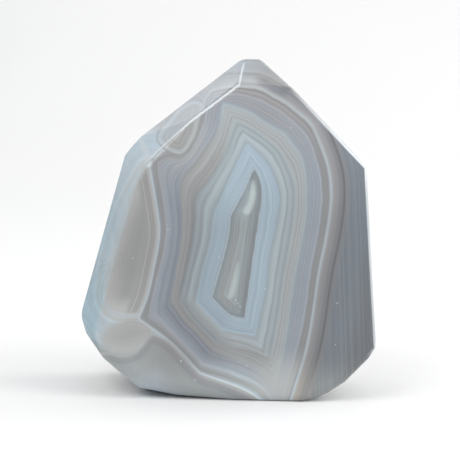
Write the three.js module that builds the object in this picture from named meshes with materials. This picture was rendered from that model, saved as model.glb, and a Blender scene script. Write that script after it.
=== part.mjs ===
// Polished freeform of banded agate, standing on a cut and polished base.
// One solid piece of stone: a broad flat front face, narrow flat side faces round it and a bevelled back.
// Millimetres. X is to the right, Y to the back and Z up. The front face looks towards -Y.
import * as THREE from 'three';
import { ConvexGeometry } from 'three/addons/geometries/ConvexGeometry.js';
import { mergeVertices } from 'three/addons/utils/BufferGeometryUtils.js';

// Thickness of the stone from the front face to the back face
const DEPTH = 33;
const FRONT_Y = -DEPTH / 2;
const BACK_Y = DEPTH / 2;
// Depth at which the side faces end and the wide bevels round the back begin
const SHOULDER_Y = 8.5;

// Steps across each rounded corner, and how far a corner's ball may cross a neighbouring face
const CORNER_STEPS = 6;
const CROSSING = 0.03;
// Each time a ball crosses a face it is made smaller by this factor
const SHRINK = 0.9;

// Colour of the polished stone, between its grey-blue and its warm grey bands
const STONE_COLOR = 0x9da3a8;
const STONE_ROUGHNESS = 0.12;

// Every flat face of the stone is a plane: a point that it passes through, and the way that it looks.
// turn is in degrees anticlockwise from +X, seen from the front; lean is degrees tipped towards the front.
// softness is the radius that the polishing has left on the face's edges.
const FACES = [
  // The broad front face, which shows the bands
  { name: 'front', at: [0, FRONT_Y, 40], turn: 90, lean: 90, softness: 1.0 },

  // Side faces, anticlockwise from the apex. Where the outline is round, the faces between are narrow.
  { name: 'apex left', at: [2.3, 7.7, 81.6], turn: 108, lean: 6, softness: 4 },
  { name: 'top left', at: [-12.1, FRONT_Y, 69.5], turn: 130, lean: 0.8, softness: 0.9 },
  { name: 'left shoulder', at: [-19.7, FRONT_Y, 61.7], turn: 137, lean: 3.9, softness: 1.5 },
  { name: 'left', at: [-28.1, FRONT_Y, 40.3], turn: 167, lean: 5, softness: 4.5 },
  { name: 'left hip', at: [-35.4, 6.2, 15.7], turn: 184, lean: 4.5, softness: 4 },
  { name: 'low left', at: [-35.2, 6.2, 14.7], turn: 200, lean: 4, softness: 4 },
  { name: 'lower left', at: [-34.0, 5.8, 11.4], turn: 213, lean: 2.8, softness: 4 },
  { name: 'foot left', at: [-28.1, 0, 6.5], turn: 231, lean: 0, softness: 6 },
  { name: 'heel left', at: [-20.0, -5.0, 0.3], turn: 250, lean: 1, softness: 5 },
  { name: 'foot right', at: [18.8, FRONT_Y, 0.3], turn: 281, lean: 0, softness: 3 },
  { name: 'lowest right', at: [22.1, FRONT_Y, 1.2], turn: 294, lean: 0, softness: 3 },
  { name: 'lower right', at: [26.1, FRONT_Y, 3.5], turn: 304, lean: 0, softness: 3 },
  { name: 'low right', at: [31.3, FRONT_Y, 8.3], turn: 317, lean: 0, softness: 3 },
  { name: 'right heel', at: [33.9, FRONT_Y, 11.2], turn: 328, lean: 0, softness: 3 },
  { name: 'right foot', at: [34.8, FRONT_Y, 13.5], turn: 339, lean: 0, softness: 3 },
  { name: 'right hip', at: [35.0, FRONT_Y, 14.4], turn: 352, lean: 0, softness: 3 },
  { name: 'right', at: [32.7, FRONT_Y, 36.3], turn: 6.7, lean: 0, softness: 2 },
  { name: 'right shoulder', at: [29.0, FRONT_Y, 59.4], turn: 24, lean: 0, softness: 3 },
  { name: 'upper right', at: [26.5, FRONT_Y, 62.3], turn: 36, lean: 1.3, softness: 3 },
  { name: 'top right', at: [17.2, FRONT_Y, 70.5], turn: 46.6, lean: 2.6, softness: 3 },
  { name: 'apex right', at: [10.7, -15.2, 76.7], turn: 66, lean: 7, softness: 4 },

  // The small face at the apex, which slopes down to the front
  { name: 'top', at: [-2.7, FRONT_Y, 77.45], turn: 86.5, lean: 11.2, softness: 4 },

  // Narrow bevels that catch the light along the right of the front face
  { name: 'right rim', at: [32.7, FRONT_Y + 1, 36.3], turn: 6.7, lean: 40, softness: 1.2 },
  { name: 'top right rim', at: [17.2, FRONT_Y + 0.9, 70.5], turn: 46.6, lean: 38, softness: 1.5 },

  // The base, and the front left of it, which is worn a little way up
  { name: 'base', at: [0, 0, 0], turn: 270, lean: 0, softness: 0.8 },
  { name: 'toe', at: [-11, -12.6, 0.3], turn: 266.4, lean: 12.2, softness: 5 },
  { name: 'toe left', at: [-11, -12.9, 0.1], turn: 260, lean: 11.2, softness: 5 },

  // The back face and the wide bevels round it
  { name: 'back', at: [0, BACK_Y, 40], turn: 90, lean: -90, softness: 3 },
  { name: 'back top left', at: [-13.1, SHOULDER_Y, 70.3], turn: 130, lean: -42, softness: 6 },
  { name: 'back left', at: [-30.1, SHOULDER_Y, 40.3], turn: 167, lean: -42, softness: 6 },
  { name: 'back low left', at: [-34.5, SHOULDER_Y, 12.3], turn: 208, lean: -42, softness: 6 },
  { name: 'back foot left', at: [-26.1, SHOULDER_Y, 4.3], turn: 226, lean: -42, softness: 6 },
  { name: 'back low right', at: [28.7, SHOULDER_Y, 7.1], turn: 313.7, lean: -45, softness: 6 },
  { name: 'back right', at: [32.5, SHOULDER_Y, 36.3], turn: 6.7, lean: -45, softness: 8 },
  { name: 'back top right', at: [18.2, SHOULDER_Y + 1, 71.6], turn: 46.6, lean: -42, softness: 5 },
];

// The plane of a face, with its normal pointing out of the stone
function facePlane(face) {
  const turn = THREE.MathUtils.degToRad(face.turn);
  const lean = THREE.MathUtils.degToRad(face.lean);
  const normal = new THREE.Vector3(
    Math.cos(turn) * Math.cos(lean),
    -Math.sin(lean),
    Math.sin(turn) * Math.cos(lean),
  );
  const reach = normal.dot(new THREE.Vector3(...face.at));
  return { normal, reach, softness: face.softness };
}

// The point where three planes meet once each has moved into the stone by inset, or null if they are parallel
function meetingPoint(a, b, c, inset) {
  const bc = new THREE.Vector3().crossVectors(b.normal, c.normal);
  const ca = new THREE.Vector3().crossVectors(c.normal, a.normal);
  const ab = new THREE.Vector3().crossVectors(a.normal, b.normal);
  const spread = a.normal.dot(bc);
  if (Math.abs(spread) < 1e-6) {
    return null;
  }
  return bc.multiplyScalar(a.reach - inset)
    .addScaledVector(ca, b.reach - inset)
    .addScaledVector(ab, c.reach - inset)
    .divideScalar(spread);
}

// How far a ball sticks out of the stone's planes at most
function crossing(planes, centre, radius) {
  return Math.max(...planes.map((plane) => plane.normal.dot(centre) + radius - plane.reach));
}

// Points on the part of a ball that faces away from the stone at a corner of three planes
function cornerPoints(a, b, c, centre, radius) {
  const points = [];
  for (let i = 0; i <= CORNER_STEPS; i += 1) {
    for (let j = 0; j <= CORNER_STEPS - i; j += 1) {
      const outward = new THREE.Vector3()
        .addScaledVector(a.normal, i)
        .addScaledVector(b.normal, j)
        .addScaledVector(c.normal, CORNER_STEPS - i - j)
        .normalize();
      points.push(outward.multiplyScalar(radius).add(centre));
    }
  }
  return points;
}

// The rounded stone: a ball sits in every corner of the planes, and the skin is stretched over all the balls
function roundedStone(faces) {
  const planes = faces.map(facePlane);
  const points = [];
  for (let i = 0; i < planes.length; i += 1) {
    for (let j = i + 1; j < planes.length; j += 1) {
      for (let k = j + 1; k < planes.length; k += 1) {
        const [a, b, c] = [planes[i], planes[j], planes[k]];
        const corner = meetingPoint(a, b, c, 0);
        if (corner !== null && crossing(planes, corner, 0) < 1e-6) {
          let radius = (a.softness + b.softness + c.softness) / 3;
          let centre = meetingPoint(a, b, c, radius);
          while (crossing(planes, centre, radius) > CROSSING) {
            radius *= SHRINK;
            centre = meetingPoint(a, b, c, radius);
          }
          points.push(...cornerPoints(a, b, c, centre, radius));
        }
      }
    }
  }
  const skin = new ConvexGeometry(points);
  skin.deleteAttribute('normal');
  const stone = mergeVertices(skin, 1e-4);
  stone.computeVertexNormals();
  return stone;
}

const material = new THREE.MeshStandardMaterial({
  color: STONE_COLOR,
  roughness: STONE_ROUGHNESS,
  metalness: 0,
});

const agate = new THREE.Mesh(roundedStone(FACES), material);
agate.name = 'agate';

const part = new THREE.Group();
part.name = 'agate_geode';
part.add(agate);

export default part;
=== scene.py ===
# %% [markdown]
# # A polished standing stone of grey-blue banded agate
# The object is one solid stone. It began as a nodule that filled a hollow in old lava, and every
# band is one thin layer of quartz that settled on the wall of that hollow. Someone sawed the nodule,
# ground flat facets round it, polished it, and cut a foot so that it stands.
#
# The CAD model gives the exact shape, and this file gives the stone its surface and its bands.
# The first cell loads the CAD model as a fixed frame. Everything here is in metres.

# %% Load the frame
import math

import bpy
import numpy as np
from mathutils import Matrix, Vector


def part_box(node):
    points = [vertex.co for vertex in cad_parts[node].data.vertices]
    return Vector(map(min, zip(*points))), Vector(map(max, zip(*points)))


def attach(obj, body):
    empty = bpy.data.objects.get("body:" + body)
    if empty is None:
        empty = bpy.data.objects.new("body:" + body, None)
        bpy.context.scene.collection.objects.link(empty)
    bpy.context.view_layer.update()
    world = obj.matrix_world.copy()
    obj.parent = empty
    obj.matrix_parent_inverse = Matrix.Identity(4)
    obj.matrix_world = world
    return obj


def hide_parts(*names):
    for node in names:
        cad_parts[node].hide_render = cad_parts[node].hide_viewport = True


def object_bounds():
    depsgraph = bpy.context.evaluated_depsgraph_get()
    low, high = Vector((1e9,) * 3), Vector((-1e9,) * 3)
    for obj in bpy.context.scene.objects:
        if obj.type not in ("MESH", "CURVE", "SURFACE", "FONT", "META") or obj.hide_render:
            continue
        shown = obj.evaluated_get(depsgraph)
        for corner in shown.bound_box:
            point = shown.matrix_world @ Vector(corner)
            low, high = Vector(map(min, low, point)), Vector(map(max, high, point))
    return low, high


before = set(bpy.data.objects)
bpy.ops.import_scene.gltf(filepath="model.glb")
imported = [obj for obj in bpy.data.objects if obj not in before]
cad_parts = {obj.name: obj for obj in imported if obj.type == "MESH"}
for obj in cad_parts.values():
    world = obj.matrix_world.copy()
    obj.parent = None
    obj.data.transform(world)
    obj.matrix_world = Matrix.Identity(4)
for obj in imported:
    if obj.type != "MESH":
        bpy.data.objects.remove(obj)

cad_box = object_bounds()
print("CAD box in mm:", [[round(1000 * c, 2) for c in corner] for corner in cad_box])

# %% [markdown]
# ## An empty stage
# Blender opens with a cube, a lamp and a camera that don't belong here, so they go first. An
# operator acts on everything selected, so there is a helper that clears the selection, and another
# that selects a single object and makes it active.

# %% Clear the stage
for spare in ("Cube", "Light", "Camera"):
    if spare in bpy.data.objects:
        bpy.data.objects.remove(bpy.data.objects[spare])


def select_nothing():
    bpy.ops.object.select_all(action="DESELECT")


def select_only(thing):
    select_nothing()
    thing.select_set(True)
    bpy.context.view_layer.objects.active = thing


# %% [markdown]
# ## The camera
# The camera stands where the photographer stood: nine degrees round to the left of the polished
# face, eight degrees above the table, half a metre away and tipped by three degrees. It is made
# first because the bands are drawn through it. A band's place was read off the picture, as a pixel,
# and a point of the stone belongs to that band when the camera sees it at that pixel.

# %% The camera's place
MM = 0.001
PICTURE = 460                       # the picture is a square of this many pixels
PIXEL = 0.2485 * MM                 # the size of one pixel on the stone
CAMERA_ROUND = math.radians(-9.0)
CAMERA_ABOVE = math.radians(8.0)
CAMERA_TIPPED = math.radians(3.0)
CAMERA_DISTANCE = 520 * MM
CAMERA_SEES_FROM = 10 * MM
LOOKS_AT = np.array([-0.12, 0.0, 39.7]) * MM
SENSOR_WIDTH = 36.0                 # millimetres, as Blender gives a camera's sensor

towards_camera = np.array([
    math.sin(CAMERA_ROUND) * math.cos(CAMERA_ABOVE),
    -math.cos(CAMERA_ROUND) * math.cos(CAMERA_ABOVE),
    math.sin(CAMERA_ABOVE),
])
level_right = np.array([math.cos(CAMERA_ROUND), math.sin(CAMERA_ROUND), 0.0])
level_up = np.cross(towards_camera, level_right)
picture_right = level_right * math.cos(CAMERA_TIPPED) + level_up * math.sin(CAMERA_TIPPED)
picture_up = level_up * math.cos(CAMERA_TIPPED) - level_right * math.sin(CAMERA_TIPPED)
camera_place = LOOKS_AT + towards_camera * CAMERA_DISTANCE
focal_length = SENSOR_WIDTH * CAMERA_DISTANCE / (PICTURE * PIXEL)
print("Focal length in mm:", round(focal_length, 1))

# %% Make the camera
select_nothing()
bpy.ops.object.camera_add()
camera = bpy.context.object
camera.name = "camera"
camera.data.sensor_width = SENSOR_WIDTH
camera.data.lens = focal_length
camera.data.clip_start = CAMERA_SEES_FROM
turn = Matrix((picture_right, picture_up, towards_camera)).transposed().to_4x4()
camera.matrix_world = Matrix.Translation(Vector(camera_place)) @ turn
bpy.context.scene.camera = camera
print("Camera stands at", [round(c, 3) for c in camera_place])

# %% [markdown]
# ## From the stone to the picture and back
# Two helpers go between the stone and the picture. `seen_at` gives the pixel at which the camera
# sees a point. `on_front` goes the other way, for the flat polished face at the front of the stone:
# it follows the line of sight through a pixel until that line meets the face.

# %% Picture helpers
SCALE = CAMERA_DISTANCE / PIXEL     # pixels for one unit of slope away from the line of sight
FRONT_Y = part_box("agate")[0][1]     # where the flat front face lies


def seen_at(points):
    away = np.asarray(points) - LOOKS_AT
    depth = CAMERA_DISTANCE - away @ towards_camera
    across = PICTURE / 2 + SCALE * (away @ picture_right) / depth
    down = PICTURE / 2 - SCALE * (away @ picture_up) / depth
    return np.stack([across, down], axis=1)


def on_front(pixel):
    across = (pixel[0] - PICTURE / 2) / SCALE
    down = (pixel[1] - PICTURE / 2) / SCALE
    sight = picture_right * across - picture_up * down - towards_camera
    steps = (FRONT_Y - camera_place[1]) / sight[1]
    return camera_place + sight * steps


print("The front face lies at y =", round(1000 * FRONT_Y, 2), "mm")

# %% [markdown]
# ## The stone itself
# The CAD node is already the right shape: flat facets that meet in edges rounded by the polishing
# belt. But each flat facet is made of a few big triangles, and the bands need somewhere to be written
# down. So the mesh is copied and merged, and its flat facets are made whole again.

# %% Copy the stone
MERGE_WITHIN = 0.001 * MM
FLAT_WITHIN = math.radians(0.3)
FACET_AREA = 12 * MM * MM

cad_stone = bpy.data.objects["agate"]
select_only(cad_stone)
bpy.ops.object.duplicate()
stone = bpy.context.object
stone.name = "banded_stone"
stone.data.name = "banded_stone"
bpy.ops.object.transform_apply(location=True, rotation=True, scale=True)

bpy.ops.object.mode_set(mode="EDIT")
bpy.ops.mesh.select_all(action="SELECT")
bpy.ops.mesh.remove_doubles(threshold=MERGE_WITHIN)
bpy.ops.mesh.dissolve_limited(angle_limit=FLAT_WITHIN)
bpy.ops.object.mode_set(mode="OBJECT")
print("Merged stone:", len(stone.data.vertices), "points,", len(stone.data.polygons), "faces")

flat_facets = [(np.array(face.normal), np.array(face.center))
               for face in stone.data.polygons if face.area > FACET_AREA]
print("Flat facets:", len(flat_facets))

# %% [markdown]
# ## Slicing it like bread
# A band is followed by its distance from a line, and each point of the mesh keeps such distances.
# Between two points Blender goes straight from one number to the next, so the points have to lie
# closer together than the bands turn. The stone is cut through by flat planes, half a millimetre
# apart across and up, and a little further apart in depth, where the bands hardly change. `bisect`
# cuts but takes nothing away, so the shape stays exactly that of the CAD model.

# %% Slice the stone
SLICE_ACROSS = 0.5 * MM
SLICE_UP = 0.5 * MM
SLICE_DEEP = 1.2 * MM
COARSER = 1.0


def slice_along(axis, gap):
    low = cad_box[0][axis]
    high = cad_box[1][axis]
    count = int((high - low) / gap)
    direction = [0.0, 0.0, 0.0]
    direction[axis] = 1.0
    for number in range(1, count):
        place = [0.0, 0.0, 0.0]
        place[axis] = low + (high - low) * number / count
        bpy.ops.mesh.select_all(action="SELECT")
        bpy.ops.mesh.bisect(plane_co=place, plane_no=direction)
    return count - 1


select_only(stone)
bpy.ops.object.mode_set(mode="EDIT")
cuts = slice_along(1, SLICE_DEEP * COARSER)
cuts += slice_along(0, SLICE_ACROSS * COARSER)
cuts += slice_along(2, SLICE_UP * COARSER)
bpy.ops.object.mode_set(mode="OBJECT")
bpy.ops.object.shade_smooth()
print(cuts, "cuts gave", len(stone.data.polygons), "faces")

# %% [markdown]
# ## The nest of bands
# Agate of this kind is called fortification agate, because its bands turn sharp corners like the
# walls of an old fort. All bands of the nest are copies of one shape that swells from the core to
# the pale wall round it. Seven of them are drawn here, in pixels of the picture, and those
# in between follow from their neighbours.
#
# Each outline is a list of five sides that starts at the top corner and goes round clockwise: down
# the right, along the bottom to the knee, up to the left corner, up the left to the bend, and back
# to the top. Sides with the same place in the list belong together, and so the corners stay sharp
# all the way out.

# %% The core
CORE_EDGE = [
    [(254.3, 168), (260.5, 183), (261.5, 197), (259, 214), (254.5, 243), (246.5, 300), (244, 317)],
    [(244, 317), (236, 316.5), (229, 313.5)],
    [(229, 313.5), (220, 305), (212.5, 297)],
    [(212.5, 297), (218, 278), (224.5, 255), (229.5, 233), (231, 216)],
    [(231, 216), (235, 208.5), (243.5, 193), (250, 178.5), (254.3, 168)],
]


def tell_outline(name, outline):
    print(name, "has", sum(len(side) for side in outline), "points on", len(outline), "sides")


tell_outline("The core", CORE_EDGE)

# %% The edge of the blue quartz round the core
BLUE_EDGE = [
    [(247, 141), (254, 149), (262, 156), (279.3, 190), (276, 228), (273, 240), (265, 297),
     (256, 337)],
    [(256, 337), (221, 330)],
    [(221, 330), (195.5, 303)],
    [(195.5, 303), (199.4, 280), (210, 240), (214, 211)],
    [(214, 211), (237.5, 159), (247, 141)],
]
tell_outline("The blue quartz", BLUE_EDGE)

# %% Two thin dark lines in the pale green
FIRST_LINE = [
    [(242, 128), (273, 151), (288.7, 190), (284, 240), (278, 277), (272, 318), (265, 355)],
    [(265, 355), (252, 348), (219, 339.5)],
    [(219, 339.5), (190, 308.5), (186, 300)],
    [(186, 300), (192.5, 270), (200.5, 240), (203.5, 209)],
    [(203.5, 209), (206.5, 200), (212, 190), (228.5, 160), (235, 141), (238, 133), (242, 128)],
]
SECOND_LINE = [
    [(236, 121.5), (247, 126), (263, 137), (278, 148.5), (285, 161), (295, 188), (295, 200),
     (283.5, 277), (277.5, 320), (270, 358)],
    [(270, 358), (255, 352), (232, 347), (215, 341.5)],
    [(215, 341.5), (186, 309), (179.5, 300)],
    [(179.5, 300), (194.7, 220), (195, 200)],
    [(195, 200), (199, 192), (210.5, 178.5), (222, 160), (236, 121.5)],
]
tell_outline("The first dark line", FIRST_LINE)
tell_outline("The second dark line", SECOND_LINE)

# %% Where beige turns to slate
SLATE_EDGE = [
    [(221.5, 100), (250, 110), (262, 118), (287, 133), (303, 155), (307, 170), (308, 215),
     (304, 240), (293, 300), (288, 340), (276.5, 391)],
    [(276.5, 391), (268, 380), (250, 366), (213, 353)],
    [(213, 353), (190, 328.5), (182, 320), (170, 302)],
    [(170, 302), (175.5, 270), (180.7, 240), (180, 190)],
    [(180, 190), (184, 174), (196, 160), (215, 130), (221.5, 100)],
]
tell_outline("The edge of the slate", SLATE_EDGE)

# %% Where the brown strip begins, and the pale wall round the nest
BROWN_EDGE = [
    [(213, 95), (236, 91), (262, 97), (297, 121), (306, 130), (320, 163), (324.3, 202),
     (319.5, 236), (312.5, 276), (307, 316), (297.5, 356), (280, 415)],
    [(280, 415), (260, 388), (240, 378.5), (200, 366)],
    [(200, 366), (180, 344), (152, 318)],
    [(152, 318), (152, 306), (154.5, 293), (167.8, 230), (164, 190), (160, 170), (161, 163)],
    [(161, 163), (168, 158), (178, 158.5), (201, 124), (206, 104), (213, 95)],
]
WALL = [
    [(212, 90), (234, 86), (245, 86.5), (258, 87.5), (272, 95), (280, 99), (300, 113.5),
     (311, 123.5), (317, 136), (329.6, 172), (325.5, 242), (321.5, 260), (303.5, 360), (297, 380),
     (283, 424)],
    [(283, 424), (260, 399), (200, 372.5)],
    [(200, 372.5), (172, 343), (139, 318.5)],
    [(139, 318.5), (146.7, 300), (153.8, 270), (159.8, 230), (156, 200), (149, 160)],
    [(149, 160), (157, 156), (163, 150), (178, 155), (191, 141), (201, 110), (204, 101), (212, 90)],
]
NEST = [CORE_EDGE, BLUE_EDGE, FIRST_LINE, SECOND_LINE, SLATE_EDGE, BROWN_EDGE, WALL]
WALL_BAND = len(NEST) - 1           # the band number of the wall
print(len(NEST), "outlines, from the core to the wall")

# %% [markdown]
# ## The other forms
# The nest is not alone. Above its left shoulder sits a small eye, a second nest seen through its
# top. Left of the wall lies a warm grey lens of plain chalcedony, and under it a flat oval. Below
# both is the heel, grey and cloudy. In the core two slim tongues of clear pale quartz were the last
# to grow. Each is one closed outline, again in pixels. Open lines are the branch that the wall sends
# to the left, a thin dark line under the apex and three pale arcs on the left face.

# %% Outlines of the other forms
EYE = [
    (200.5, 112), (203.5, 107.5), (196, 101.8), (184, 106), (170, 121), (159, 139), (169, 149.5),
    (180, 153), (193.5, 136),
]
WARM_LENS = [
    (149, 166), (156, 185), (161, 210), (162, 235), (157, 262), (150, 290), (142, 311),
    (130, 313), (112, 310), (106, 302), (106, 280), (108.5, 262), (116.5, 235), (127, 204),
    (142, 176),
]
OVAL = [
    (103, 336), (106, 331), (119, 324), (135, 320.5), (151, 331), (144, 341), (126, 351.5),
    (104, 343),
]
HEEL = [
    (151, 335), (158, 337), (190, 366), (200, 376), (220, 383.5), (250, 397), (262, 405),
    (262, 430), (90, 430), (88, 372), (98, 356), (110, 354), (120, 356.5), (128, 356), (136, 353),
    (142, 346),
]
UPPER_TONGUE = [
    (253.5, 181), (255.5, 188), (254, 204), (247, 215), (243, 213), (247, 203),
]
LOWER_TONGUE = [
    (238, 261), (236, 290), (233, 298), (229, 299), (231, 283),
]
BRANCH = [(149.5, 164), (147, 155), (141, 140)]
CAP_LINE = [(244, 74), (250, 74), (255, 74.5), (260, 76), (270, 80.5), (280, 84.7), (286, 89)]
FACET_ARCS = [
    [(116, 187), (122.5, 193), (126, 202), (125.5, 212), (121, 225)],
    [(112, 201), (118, 207.5), (120, 216), (118, 227)],
    [(107, 226), (112, 236), (113.5, 246), (110, 259)],
]
print("Outlined: eye, lens, oval, heel and two tongues; open lines:", 2 + len(FACET_ARCS))

# %% [markdown]
# ## How the bands go on inside the stone
# The picture shows one face and narrow strips of the left and the top. A hollow in lava is never a
# straight tube, so its layers wander as one goes deeper. Where the picture shows the surface, the
# bands stay as they are seen. Behind that they drift by a few millimetres in long waves, the more
# the more stone lies in front of them, so that the back has a nest of its own and not the same one
# again. How much stone lies in front follows from the flat facets: the line of sight from a point
# leaves the stone at the nearest of them.

# %% Let the bands wander with depth
DRIFT_STARTS = 3.0                  # millimetres of stone in front
DRIFT_FULL = 26.0
DRIFT_WIDTH = 15.0                  # pixels, at the back of the stone
DRIFT_LENGTHS = [(31.0, 43.0, 17.0), (29.0, 37.0, 19.0)]
DRIFT_SHIFTS = [(1.3, 0.4, 0.0), (2.1, 0.2, math.pi / 2)]
NEST_HEART = np.array([240.0, 245.0])
BACK_SWELL = 0.14                   # how much smaller the nest is at the back
LEAST_FACING = 0.05                 # facets seen more edge-on than this hide nothing
FAR = 1e9
TINY = 1e-9


def soft_step(share):
    """The numbers from 0 to 1 again, but slower at both ends."""
    share = np.clip(share, 0.0, 1.0)
    return share * share * (3.0 - 2.0 * share)


def stone_in_front(points):
    least = np.full(len(points), FAR)
    for normal, centre in flat_facets:
        facing = normal @ towards_camera
        if facing > LEAST_FACING:
            least = np.minimum(least, (centre - points) @ normal / facing)
    return np.maximum(least, 0.0) / MM


def ripple(first, second, lengths, shifts):
    slow = np.sin(first / lengths[0] + shifts[0]) * np.cos(second / lengths[1] + shifts[1])
    return slow + 0.5 * np.sin(second / lengths[2] + shifts[2])


def drifted(points):
    pixels = seen_at(points)
    deep = (stone_in_front(points) - DRIFT_STARTS) / (DRIFT_FULL - DRIFT_STARTS)
    across, down = pixels.T
    drift = np.stack([ripple(across, down, DRIFT_LENGTHS[0], DRIFT_SHIFTS[0]),
                      ripple(down, across, DRIFT_LENGTHS[1], DRIFT_SHIFTS[1])], axis=1)
    moved = drift * DRIFT_WIDTH + (pixels - NEST_HEART) * BACK_SWELL
    return pixels + moved * soft_step(deep)[:, None]


def read_points(name):
    numbers = np.empty(len(stone.data.vertices) * 3)
    stone.data.vertices.foreach_get(name, numbers)
    return numbers.reshape(-1, 3)


points = read_points("co")
normals = read_points("normal")
pixels = drifted(points)
print("Every point of the stone now has a place in the picture:", len(pixels))

# %% [markdown]
# ## Measuring from an outline
# Two kinds of number are needed. Inside the nest it is the band number: 0 on the edge of the core,
# 1 on the edge of the blue quartz, up to 6 on the wall. Everywhere else it is a distance from an
# outline in millimetres, below zero inside.
#
# An outline has few points, so `curve` first draws a smooth line through them, with steps of equal
# length. `gap_to` is the distance to such a line, and `depth_outside` also counts how often a level
# line crosses a closed one, to tell inside from outside.

# %% A smooth line through a few points
STEPS_FROM_POINT_TO_POINT = 8


def curve(points, steps):
    corners = np.array(points, dtype=float)
    legs = np.hypot(*np.diff(corners, axis=0).T)
    if len(corners) == 2:
        return corners[0] + (corners[1] - corners[0]) * np.linspace(0.0, 1.0, steps + 1)[:, None]
    reached = np.concatenate([[0.0], np.cumsum(legs)])
    slopes = np.gradient(corners, reached, axis=0)
    places = np.linspace(0.0, reached[-1], steps + 1)
    leg = np.clip(np.searchsorted(reached, places, side="right") - 1, 0, len(legs) - 1)
    length = legs[leg][:, None]
    share = (places - reached[leg])[:, None] / length
    eased = soft_step(share)
    line = corners[leg] * (1.0 - eased) + corners[leg + 1] * eased
    line += slopes[leg] * length * share * (1.0 - share) ** 2
    line -= slopes[leg + 1] * length * share ** 2 * (1.0 - share)
    return line


def closed(outline):
    """A smooth closed line: it starts a little early and ends a little late, so the join is smooth."""
    around_once = list(outline)
    longer = around_once[-2:] + around_once + around_once[:2]
    steps = STEPS_FROM_POINT_TO_POINT * len(longer)
    line = curve(longer, steps)
    start = np.argmin(np.hypot(*(line[:steps // 2] - around_once[0]).T))
    end = steps // 2 + np.argmin(np.hypot(*(line[steps // 2:] - around_once[0]).T))
    return line[start:end]


print("The eye is now a line of", len(closed(EYE)), "points")

# %% Distances from a line
SHORT_STEPS = 12                    # steps along a short open line


def gap_to(line):
    """The distance to a line in millimetres, and how many steps along it the nearest place is."""
    nearest = np.full(len(pixels), FAR)
    reached = np.zeros(len(pixels))
    for step, (start, end) in enumerate(zip(line, line[1:])):
        side = end - start
        share = np.clip(((pixels - start) @ side) / max(side @ side, TINY), 0.0, 1.0)
        gap = pixels - start - share[:, None] * side
        gap = np.hypot(gap[:, 0], gap[:, 1])
        closer = gap < nearest
        nearest[closer] = gap[closer]
        reached[closer] = step + share[closer]
    return nearest * PIXEL / MM, reached


def depth_outside(line):
    whole = np.concatenate([line, line[:1]])
    inside = np.zeros(len(pixels), dtype=bool)
    for start, end in zip(whole, whole[1:]):
        if start[1] == end[1]:
            continue
        crosses = (start[1] > pixels[:, 1]) != (end[1] > pixels[:, 1])
        share = (pixels[:, 1] - start[1]) / (end[1] - start[1])
        inside ^= crosses & (pixels[:, 0] < start[0] + share * (end[0] - start[0]))
    gap, reached = gap_to(whole)
    return np.where(inside, -gap, gap), reached


def shortest(lines):
    return np.min([gap_to(curve(line, SHORT_STEPS))[0] for line in lines], axis=0)


print("Closest point to the branch, in mm:", round(shortest([BRANCH]).min(), 3))

# %% [markdown]
# The band number is found between two neighbouring outlines. Each side is walked in equal steps,
# the steps of the inner and the outer outline are joined into a strip of thin triangles, and inside
# a triangle the number rises evenly from one outline to the next. This keeps the corners sharp. A
# plain distance would round them off.

# %% The band number
STEPS_ON_A_SIDE = 48
SLACK = 1e-6                        # a point this little outside a triangle still counts


def fill_triangle(fields, corners, numbers):
    """Numbers rise evenly over a triangle: one row of three for each field."""
    low = corners.min(axis=0)
    high = corners.max(axis=0)
    near = np.nonzero(((pixels >= low) & (pixels <= high)).all(axis=1))[0]
    edge_a = corners[1] - corners[0]
    edge_b = corners[2] - corners[0]
    area = edge_a[0] * edge_b[1] - edge_a[1] * edge_b[0]
    if len(near) == 0 or abs(area) < TINY:
        return
    away = pixels[near] - corners[0]
    share_a = (away[:, 0] * edge_b[1] - away[:, 1] * edge_b[0]) / area
    share_b = (edge_a[0] * away[:, 1] - edge_a[1] * away[:, 0]) / area
    hit = (share_a >= -SLACK) & (share_b >= -SLACK) & (share_a + share_b <= 1 + SLACK)
    for field, (first, second, third) in zip(fields, numbers):
        rise = share_a * (second - first) + share_b * (third - first)
        field[near[hit]] = first + rise[hit]


def whole_line(outline):
    """The five sides of an outline of the nest as one closed line."""
    return np.concatenate([curve(side, STEPS_ON_A_SIDE)[:-1] for side in outline])


def band_numbers():
    core, reached = depth_outside(whole_line(CORE_EDGE))
    wall, reached = depth_outside(whole_line(WALL))
    band = np.where(core < 0, core, WALL_BAND + wall)
    around = reached / STEPS_ON_A_SIDE
    for number in range(WALL_BAND):
        for side in range(len(WALL)):
            inner = curve(NEST[number][side], STEPS_ON_A_SIDE)
            outer = curve(NEST[number + 1][side], STEPS_ON_A_SIDE)
            for step in range(STEPS_ON_A_SIDE):
                a, b = inner[step], inner[step + 1]
                c, d = outer[step], outer[step + 1]
                here = side + step / STEPS_ON_A_SIDE
                there = side + (step + 1) / STEPS_ON_A_SIDE
                fill_triangle((band, around), np.array([a, b, c]),
                              ((number, number, number + 1), (here, there, here)))
                fill_triangle((band, around), np.array([b, d, c]),
                              ((number, number + 1, number + 1), (there, there, here)))
    band = np.where(core < 0, np.minimum(core, 0.0), band)
    return band, wall, around


band, wall, around = band_numbers()
print("Band numbers run from", round(band.min(), 2), "to", round(band.max(), 2))

# %% [markdown]
# ## Writing the numbers into the mesh
# Each set of numbers becomes an attribute of the mesh, one number for each point, and the shader
# reads it by its name. Some say how far round the nest a point lies, because the bands change
# colour on their way: each goes from nought to one where its side begins, so that the shader can
# lay one side's colours over the last. The ridge is measured from the flat faces themselves: a
# point equally deep under both lies on the edge where they meet. `turned` is nought where the
# surface looks straight to the front and one where it looks to the side.

# %% Ways to measure
NEST_TOP = np.array([250.0, 150.0])
NEST_FOOT = np.array([236.0, 330.0])
WIDEST = np.array([331.5, 192.0])
UPRIGHT_SLOPE = 0.03
UPRIGHT_FADE = 80.0                 # pixels down the picture over which the lines turn upright


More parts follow.
